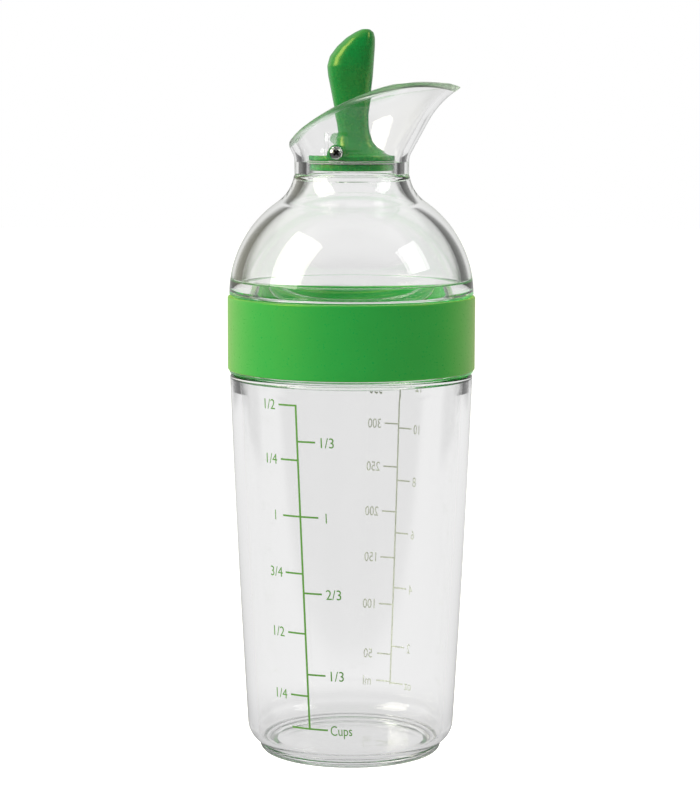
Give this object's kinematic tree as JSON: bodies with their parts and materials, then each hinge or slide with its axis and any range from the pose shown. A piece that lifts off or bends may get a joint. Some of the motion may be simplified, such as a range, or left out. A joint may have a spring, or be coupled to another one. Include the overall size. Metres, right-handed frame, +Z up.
{
  "type": "salad dressing shaker bottle",
  "caption": "Clear screw-top shaker bottle with a domed lid, a soft grip band, an open trumpet spout and a lever that tips a sealed stopper open.",
  "frame": {"origin": "on the bottle's axis, on the surface it stands on", "axes": "+Z up along the bottle's axis; +X the way the spout pours, with the lever's hinge axis along Y"},
  "size_m": [0.0764, 0.0764, 0.2238],
  "materials": {
    "clear_plastic": "clear, polished",
    "green_plastic": "gloss",
    "green_grip": "soft satin",
    "silicone": "translucent satin",
    "screw_steel": "polished stainless steel",
    "scale_print": "screen-printed ink"
  },
  "bodies": {
    "bottle": {"bottle": "clear_plastic"},
    "gasket": {"lid_gasket": "green_grip"},
    "lid": {"threaded_skirt": "clear_plastic", "grip_band": "green_grip", "shoulder_dome": "clear_plastic", "pour_spout": "clear_plastic"},
    "stopper": {"stopper_lever": "green_plastic", "stopper_seal": "silicone", "seal_retainer": "green_plastic", "hinge_screw_front": "screw_steel", "hinge_screw_back": "screw_steel"}
  },
  "joints": [
    {"name": "lid_lift", "type": "slide", "parent": "bottle", "child": "gasket", "axis": [0, 0, 1], "range_m": [0, 0.021]},
    {"name": "lid_turn", "type": "hinge", "parent": "gasket", "child": "lid", "pos_m": [0, 0, 0.1429], "axis": [0, 0, 1], "range_deg": [0, 750]},
    {"name": "stopper_tilt", "type": "hinge", "parent": "lid", "child": "stopper", "pos_m": [-0.0047, 0, 0.1867], "axis": [0, -1, 0], "range_deg": [0, 60]}
  ],
  "couplings": [
    {"joint": "lid_lift", "follows": "lid_turn", "m_per_rad": 0.0015915}
  ]
}
